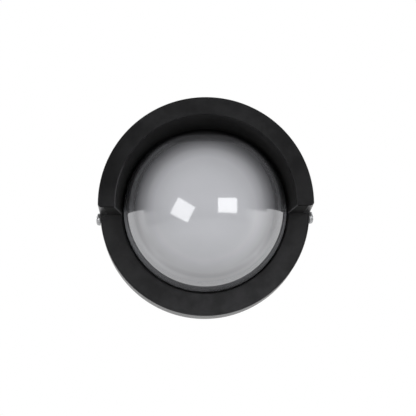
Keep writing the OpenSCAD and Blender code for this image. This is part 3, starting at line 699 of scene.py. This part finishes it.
class GlassSettings(bpy.types.PropertyGroup):
    neck_radius: length("Neck radius", "Outer radius of the glass at the ring", 0.0812)
    flange_radius: length("Flange radius", "Outer radius of the flange", GLASS_CORNER.x)
    flange_back: length("Flange back", "Back of the flange, out from the wall", -GLASS_CORNER.y)
    wall: length("Wall", "Thickness of the glass and of its flange", 0.004)
    shoulder_radius: length("Shoulder radius", "Radius of the dome's shoulder", 0.0601)
    crown_radius: length("Crown radius", "Radius of the dome's crown", 0.092)
    neck_height: length("Neck height", "Straight neck in front of the flange", 0.0095)
    # The mould line's light and shade are painted into the frost
    mould_line: length("Mould line", "Radius of the faint line in the glass", 0.0720)
    frost: colour("Frosted glass", "Tone of the frosted inside", (0.461, 0.465, 0.491))
    gloss: colour("Gloss", "Tint of what the glossy outside reflects", (0.98, 0.985, 1.0))


class ScrewSettings(bpy.types.PropertyGroup):
    head_radius: length("Head radius", "Radius of a side screw's head", 0.006)
    head_height: length("Head height", "Height of a side screw's head", 0.0032)
    slot_width: length("Slot width", "Width of the screwdriver slot", 0.0015)
    slot_depth: length("Slot depth", "Depth of the screwdriver slot", 0.0019)
    shank_radius: length("Shank radius", "Radius over the thread", 0.00295)
    pitch: length("Pitch", "Pitch of the thread", 0.001)
    thread_depth: length("Thread depth", "Depth of the thread", 0.0003)
    left_turn: angle("Left slot", "Turn of the left screw's slot", 84.0)
    right_turn: angle("Right slot", "Turn of the right screw's slot", 20.0)
    zinc: colour("Zinc", "Bright zinc plating", (0.50, 0.505, 0.515))


class LampSettings(bpy.types.PropertyGroup):
    globe_radius: length("Globe radius", "Radius of the lamp's globe", 0.0225)
    neck_radius: length("Neck radius", "Radius where the globe meets the cap", 0.0145)
    cap_radius: length("Cap radius", "Radius of the screw cap over its thread", 0.0131)
    cap_length: length("Cap length", "Length of the cap", 0.0275)
    pitch: length("Cap pitch", "Pitch of the cap's thread", 0.0036)
    thread_depth: length("Cap thread depth", "Depth of the cap's thread", 0.0011)
    opal: colour("Opal glass", "Opal globe", (0.86, 0.85, 0.82))
    brass: colour("Brass", "Brass and cap metal", (0.76, 0.58, 0.27))
    porcelain: colour("Porcelain", "Glazed porcelain", (0.80, 0.77, 0.70))
    enamel: colour("Enamel", "White enamel of the tray", (0.82, 0.82, 0.80))


class WiringSettings(bpy.types.PropertyGroup):
    lead_radius: length("Lead radius", "Radius of an insulated lead", 0.0012)
    stripe_pitch: length("Stripe pitch", "Length over which the yellow stripe winds round", 0.045)
    live: colour("Live", "Live lead", (0.14, 0.05, 0.022))
    neutral: colour("Neutral", "Neutral lead", (0.022, 0.10, 0.38))
    green: colour("Earth green", "Earth lead's green", (0.06, 0.28, 0.05))
    yellow: colour("Earth yellow", "Earth lead's yellow", (0.78, 0.62, 0.04))
    nylon: colour("Nylon", "Terminal block", (0.80, 0.77, 0.68))
    rubber: colour("Rubber", "Gaskets, grommet and bush", (0.018, 0.018, 0.018))
    foam: colour("Foam", "Foam ring behind the housing", (0.035, 0.035, 0.036))
    steel: colour("Steel", "Plated bracket, clips and small screws", (0.66, 0.67, 0.68))


# Pieces


def add_piece(name, mesh, body, finish, slot, *nodes):
    """Links a piece that stands for CAD nodes, rides on a body and takes the finish given; its slot is not
    used.
    """
    made = bpy.data.objects.new(name, mesh)
    bpy.context.scene.collection.objects.link(made)
    mesh.materials.append(finish)
    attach(made, body)
    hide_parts(*nodes)


def dress(finish, *nodes):
    """Gives the CAD nodes a finish in all their material slots."""
    for node in nodes:
        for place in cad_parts[node].material_slots:
            place.material = finish


def towards(side, rise):
    """Direction from the light to its front, turned to the right by side and up by rise."""
    return Vector((math.sin(side) * math.cos(rise), -math.cos(side) * math.cos(rise), math.sin(rise)))


def aimed(name, data, place, target, turn):
    """Links a camera or a lamp at a place, aimed at a target and turned round its own axis."""
    made = bpy.data.objects.new(name, data)
    bpy.context.scene.collection.objects.link(made)
    made.location = place
    made.rotation_mode = "QUATERNION"
    made.rotation_quaternion = ((Vector(target) - Vector(place)).to_track_quat("-Z", "Y")
                                @ Quaternion((0, 0, 1), turn))
    return made


def softbox(name, place, turn, width, height, watts, mirrored=True):
    """Oblong lamp aimed at the middle of the dome. Gloss shows it where it is mirrored."""
    light = bpy.data.lights.new(name, "AREA")
    light.shape, light.size, light.size_y, light.energy = "RECTANGLE", width, height, watts
    aimed(name, light, place, (0, DOME_MIDDLE, 0), turn).visible_glossy = mirrored


def stage_surface(name, grid, wrap, finish):
    """Links an open surface through a grid of points, its last column joined to the first on a wrap."""
    mesh = bpy.data.meshes.new(name)
    mesh.from_pydata(grid.reshape(-1, 3).tolist(), [], quads_of(*grid.shape[:2], False, wrap).tolist())
    mesh.polygons.foreach_set("use_smooth", np.ones(len(mesh.polygons), bool))
    mesh.materials.append(finish)
    made = bpy.data.objects.new(name, mesh)
    bpy.context.scene.collection.objects.link(made)
    return made


def lead_routes():
    """Stations of the leads in mm, the same as in the part's source: (right, up, out of the wall).

    The live and neutral leads go from a clamp of the terminal block through the bush in the tray to
    the lampholder, and the earth lead goes to its tag.
    """
    live, neutral, earth = [(right, -39, 11.5) for right in (-9, 0, 9)]
    live_bush, neutral_bush, tag = (-60.4, -34, 15), (-63.6, -34, 15), (42, -40, 11)
    shares = (0.12, 0.35, 0.6, 0.85)
    return {
        "live_lead": [(-9, -42.4, 11.5), live, *swing(live, live_bush, 3, 4, shares), live_bush,
                      (-60.4, -34, 21), (-60.4, -34, 27),
                      (-62, -28.5, 44), (-62, -22.5, 44), (-62, -16.5, 44)],
        "neutral_lead": [(0, -42.4, 11.5), neutral, *swing(neutral, neutral_bush, 8, -2, shares),
                         (-63.6, -30, 13.4), neutral_bush, (-63.6, -34, 21), (-63.6, -34, 27),
                         (-63.6, -34, 42), (-62, -28.5, 52), (-62, -22.5, 52), (-62, -16.5, 52)],
        "earth_lead": [(9, -42.4, 11.5), earth, *swing(earth, tag, 6, 0, (0.25, 0.5, 0.75)), tag,
                       (42, -44.4, 11), (42, -50, 11)],
    }


# Operators


class WALLLIGHT_OT_studio(bpy.types.Operator):
    """Camera, two softboxes, front fill, two back lights, white cove, floor and surroundings"""
    bl_idname = "walllight.studio"
    bl_label = "Studio"

    def execute(self, context):
        s, scene = context.scene.walllight_studio, context.scene
        scene.view_settings.view_transform = "Standard"
        self.add_camera(scene, s)
        self.add_lamps(s)
        self.add_stage(s)
        scene.world = studio_world(s.ambient, s.dark_side)
        return {"FINISHED"}

    def add_camera(self, scene, s):
        ring, back = Vector((0, RING_FACE, 0)), towards(s.camera_side, s.camera_rise)
        view = (-back).to_track_quat("-Z", "Y")
        aim = ring + view @ Vector((s.aim_right, s.aim_up, 0))
        camera = aimed("camera", bpy.data.cameras.new("camera"), ring + back * s.camera_distance, aim,
                       s.camera_roll)
        camera.data.lens, camera.data.sensor_width = s.lens, 36
        camera.data.clip_start, camera.data.clip_end = 0.01, 50
        scene.camera = camera

    def add_lamps(self, s):
        dome = Vector((0, DOME_MIDDLE, 0))
        softbox("softbox_left", dome + towards(s.left_side, s.left_rise) * s.lamp_distance,
                s.left_turn, s.left_width, s.left_height, s.left_power)
        softbox("softbox_right", dome + towards(s.right_side, s.right_rise) * s.lamp_distance,
                0, s.right_width, s.right_height, s.right_power)
        softbox("front_fill", s.fill_place, 0, s.fill_width, s.fill_height, s.fill_power, False)
        x, y, z = s.back_place
        for name, place in (("back_light_left", (-x, y, z)), ("back_light_right", (x, y, z))):
            softbox(name, place, 0, s.back_width, s.back_width, s.back_power)

    def add_stage(self, s):
        """Adds the cove and the floor.

        The cove is a side of (radius, height) that bends in to the floor, swept behind the light:
        x = r sin t, y = r cos t. The floor is rings round the light, out to the cove's foot, and in
        front, where there is no cove, beyond it.
        """
        low, foot, swept = -s.floor_drop, s.cove_radius - s.cove_bend, 100
        side = np.vstack([arc(foot, low + s.cove_bend, s.cove_bend, -90, 0, 12),
                          [[s.cove_radius, s.cove_height]]])
        r, h = side[:, 0][:, None], side[:, 1][:, None]
        t = np.radians(np.linspace(-swept, swept, 81))[None, :]
        grid = np.stack([r * np.sin(t), r * np.cos(t), h + 0 * t], axis=-1)
        cove = stage_surface("cove", grid, False,
                             white_surface("white_paper", tuple(s.paper), s.dark_side))
        r = np.linspace(0, 1, 9)[:, None]
        t = np.linspace(0, TAU, 72, endpoint=False)[None, :]
        past_cove = np.cos(t) < math.cos(math.radians(swept - 1))
        r = r * np.where(past_cove, s.cove_radius + s.floor_front, foot)
        grid = np.stack([r * np.sin(t), r * np.cos(t), low + 0 * r], axis=-1)
        floor = stage_surface("floor", grid, True,
                              white_surface("pale_floor", tuple(s.paper), s.dark_side, s.floor_share))


class WALLLIGHT_OT_castings(bpy.types.Operator):
    """Black powder coat on the housing and on the ring with its hood"""
    bl_idname = "walllight.castings"
    bl_label = "Castings"

    def execute(self, context):
        s = context.scene.walllight_castings
        dress(powder_coat("black_powder_coat", tuple(s.coat), s.grain, s.soft_edge),
              "base_housing", "front_bezel")
        return {"FINISHED"}


class WALLLIGHT_OT_glass(bpy.types.Operator):
    """Pressed glass dome with its flange, frosted inside and glossy outside"""
    bl_idname = "walllight.glass"
    bl_label = "Glass"

    def execute(self, context):
        s = context.scene.walllight_glass
        neck, rim, wall = s.neck_radius, s.flange_radius, s.wall
        back, front = s.flange_back, s.flange_back + s.wall
        edge, cut, fillet = 0.6 * MM, 0.2 * MM, 1.0 * MM
        shoulder = (neck - s.shoulder_radius, front + s.neck_height)
        drop = math.sqrt((s.crown_radius - s.shoulder_radius) ** 2 - shoulder[0] ** 2)
        crown = (0, shoulder[1] - drop)
        meeting = math.degrees(math.atan2(drop, shoulder[0]))
        profile = np.vstack([
            [[neck - wall, back], [rim - edge, back], [rim - cut, back + cut], [rim, back + edge],
             [rim, front - edge], [rim - cut, front - cut], [rim - edge, front], [neck + fillet, front]],
            arc(neck + fillet, front + fillet, fillet, 270, 180, 5)[1:],
            arc(*shoulder, s.shoulder_radius, 0, meeting, 60),
            arc(*crown, s.crown_radius, meeting, 90, 60)[1:],
            arc(*crown, s.crown_radius - wall, 90, meeting, 40),
            arc(*shoulder, s.shoulder_radius - wall, meeting, 0, 40)[1:]])
        finish = glass_finish("frosted_glass", tuple(s.frost), tuple(s.gloss), neck, s.mould_line)
        add_piece("glass_bowl", closed_mesh("glass_bowl", [revolve(profile, 240)]), "front", finish,
                  "frosted_glass", "glass_dome")
        return {"FINISHED"}


class WALLLIGHT_OT_side_screws(bpy.types.Operator):
    """Zinc plated slotted pan head screws on both sides, with threaded shanks, and their washers"""
    bl_idname = "walllight.side_screws"
    bl_label = "Side screws"

    def execute(self, context):
        s = context.scene.walllight_screws
        zinc = plated("bright_zinc", tuple(s.zinc), roughness=0.36, grain=1.1 * MM)
        overlap = 0.3 * MM
        for side, name, turn in ((-1, "left", s.left_turn), (1, "right", s.right_turn)):
            low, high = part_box(name + "_screw")
            outer = high.x if side > 0 else -low.x
            inner = low.x if side > 0 else -high.x
            seat = outer - s.head_height
            middle = (low + high) / 2

            def outwards(points):
                """Turns a shape standing on z so that it points out of the light's side."""
                x, y, z = points.T
                return np.stack([side * (seat + z), middle.y - side * y, middle.z + x], axis=1)

            def shank(points):
                """Turns a rod made round the light's axis in the same way."""
                return outwards(np.stack([points[:, 0], points[:, 2], -points[:, 1]], axis=1))

            head, faces = pan_head(s.head_radius, s.head_height, s.slot_width, s.slot_depth, turn)
            rod = threaded_rod(s.shank_radius, s.thread_depth, s.pitch, inner - seat, overlap, 40, shank)
            add_piece(name + "_slotted_screw",
                      closed_mesh(name + "_slotted_screw", [(outwards(head), faces), rod], 40),
                      name + "_side_screw", zinc, "zinc", name + "_screw")
        dress(zinc, "left_washer", "right_washer")
        return {"FINISHED"}


class WALLLIGHT_OT_lamp(bpy.types.Operator):
    """Opal globe lamp with its threaded cap, and the finishes of lampholder, contacts and tray"""
    bl_idname = "walllight.lamp"
    bl_label = "Lamp and holder"

    def execute(self, context):
        s = context.scene.walllight_lamp
        low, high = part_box("lamp")
        mouth, lap = low.x + s.cap_length, 0.2 * MM
        start = math.degrees(math.asin(s.neck_radius / s.globe_radius)) - 90
        globe = np.vstack([[[0, mouth + lap], [s.cap_radius * 0.97, mouth + lap]],
                           arc(0, high.x - s.globe_radius, s.globe_radius, start, 90, 60)])
        opal = moulded("opal_glass", tuple(s.opal), 0.18, 2.0 * MM, 0.02 * MM, coat=0.6)
        add_piece("opal_globe", closed_mesh("opal_globe", [revolve(globe, 128, across)]), "base",
                  opal, "lamp_glass", "lamp")
        brass = plated("brass", tuple(s.brass), roughness=0.30, grain=1.4 * MM)
        # The contact, its cone and the plate that closes the cap, in mm from the lamp's tip
        tip = np.array([[0, 0], [4, 0], [5.2, 2], [11.8, 4.8], [11.8, 6], [0, 6]]) * MM + [0, low.x]
        thread = threaded_rod(s.cap_radius, s.thread_depth, s.pitch, low.x + 5 * MM, mouth + 2 * lap,
                              96, across)
        add_piece("lamp_cap", closed_mesh("lamp_cap", [thread, revolve(tip, 96, across)]), "base",
                  brass, "brass")
        dress(brass, "holder_shell", "holder_contact", "terminal_inserts")
        dress(moulded("glazed_porcelain", tuple(s.porcelain), 0.16, 1.6 * MM, 0.03 * MM, coat=0.8),
              "lampholder")
        dress(moulded("white_enamel", tuple(s.enamel), 0.30, 0.9 * MM, 0.05 * MM, coat=0.2), "gear_tray")
        return {"FINISHED"}


class WALLLIGHT_OT_wiring(bpy.types.Operator):
    """Insulated leads along their routes, and the finishes of terminals, gaskets and small fixings"""
    bl_idname = "walllight.wiring"
    bl_label = "Wiring and seals"

    def execute(self, context):
        s = context.scene.walllight_wiring
        finishes = {
            "live_lead": moulded("live_sleeve", tuple(s.live), 0.36, 1.1 * MM, 0.04 * MM),
            "neutral_lead": moulded("neutral_sleeve", tuple(s.neutral), 0.36, 1.1 * MM, 0.04 * MM),
            "earth_lead": earth_sleeve("earth_sleeve", tuple(s.green), tuple(s.yellow), s.stripe_pitch),
        }
        for node, stations in lead_routes().items():
            right, up, out = (np.array(stations, float) * MM).T
            path = spline(np.stack([right, -out, up], axis=1), 10)
            mesh = closed_mesh(node + "_sleeve", [hose(path, s.lead_radius)], 60)
            map_along(mesh, path)
            slot = node.replace("lead", "insulation")
            add_piece(node + "_sleeve", mesh, "base", finishes[node], slot, node)
        dress(moulded("black_rubber", tuple(s.rubber), 0.62, 0.6 * MM, 0.08 * MM),
              "cable_grommet", "front_gasket", "glass_gasket", "tray_bush")
        dress(foam_finish("grey_foam", tuple(s.foam)), "wall_gasket")
        dress(moulded("white_nylon", tuple(s.nylon), 0.42, 0.7 * MM, 0.05 * MM), "terminal_block")
        dress(plated("zinc_fixings", tuple(s.steel), roughness=0.34, grain=0.9 * MM),
              "terminal_screws", "block_screws", "earth_screw", "earth_tag", "tray_screws",
              "holder_bracket", "bracket_screws", "holder_screws", "glass_clips", "clip_screws")
        return {"FINISHED"}


STEPS = [
    (WALLLIGHT_OT_studio, "walllight_studio", StudioSettings),
    (WALLLIGHT_OT_castings, "walllight_castings", CastingSettings),
    (WALLLIGHT_OT_glass, "walllight_glass", GlassSettings),
    (WALLLIGHT_OT_side_screws, "walllight_screws", ScrewSettings),
    (WALLLIGHT_OT_lamp, "walllight_lamp", LampSettings),
    (WALLLIGHT_OT_wiring, "walllight_wiring", WiringSettings),
]


class WALLLIGHT_PT_panel(bpy.types.Panel):
    """Lists the steps and their settings"""
    bl_idname = "WALLLIGHT_PT_panel"
    bl_label = "Wall light"
    bl_space_type = "VIEW_3D"
    bl_region_type = "UI"
    bl_category = "Wall light"

    def draw(self, context):
        for operator, name, _ in STEPS:
            box = self.layout.box()
            box.operator(operator.bl_idname)
            group = getattr(context.scene, name)
            for setting in group.bl_rna.properties.keys():
                if setting not in ("rna_type", "name"):
                    box.prop(group, setting)


def register():
    for operator, name, group in STEPS:
        bpy.utils.register_class(group)
        setattr(bpy.types.Scene, name, PointerProperty(type=group))
        bpy.utils.register_class(operator)
    bpy.utils.register_class(WALLLIGHT_PT_panel)


def unregister():
    bpy.utils.unregister_class(WALLLIGHT_PT_panel)
    for operator, name, group in reversed(STEPS):
        bpy.utils.unregister_class(operator)
        delattr(bpy.types.Scene, name)
        bpy.utils.unregister_class(group)


def main():
    register()
    bpy.ops.walllight.studio()
    bpy.ops.walllight.castings()
    bpy.ops.walllight.glass()
    bpy.ops.walllight.side_screws()
    bpy.ops.walllight.lamp()
    bpy.ops.walllight.wiring()


if __name__ == "__main__":
    main()
